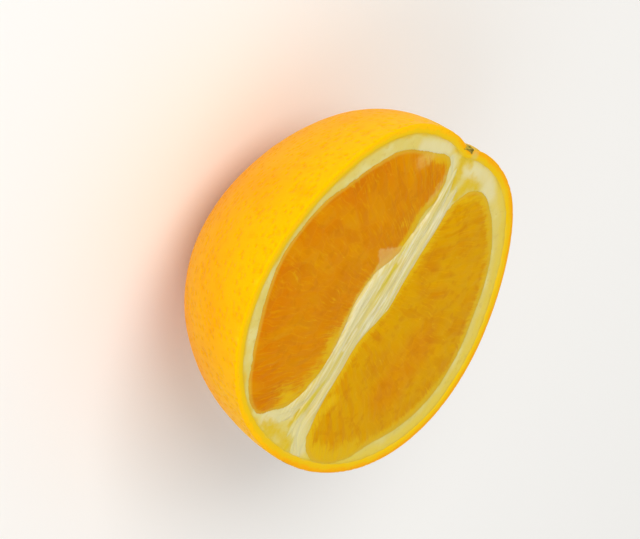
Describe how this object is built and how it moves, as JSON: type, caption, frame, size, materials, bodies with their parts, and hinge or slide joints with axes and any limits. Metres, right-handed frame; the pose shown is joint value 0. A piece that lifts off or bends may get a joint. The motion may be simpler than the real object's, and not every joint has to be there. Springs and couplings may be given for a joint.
{
  "type": "orange half",
  "caption": "Orange half cut lengthwise, resting on its round peel with the cut face up: pith, lobes of flesh and a white fibrous core.",
  "frame": {"origin": "on the surface that the peel rests on, below the middle of the part's length and width", "axes": "+X runs along the core from the stem end to the blossom end, +Z points out of the cut face, -Y is the side whose peel the picture shows"},
  "size_m": [0.0724, 0.0768, 0.0377],
  "materials": {
    "skin": "waxy pitted orange peel",
    "pith": "soft cream pith and white core strands",
    "flesh": "wet amber flesh",
    "stem_button": "dry greenish brown stem button"
  },
  "bodies": {
    "root": {"orange_half": "skin"}
  },
  "joints": []
}
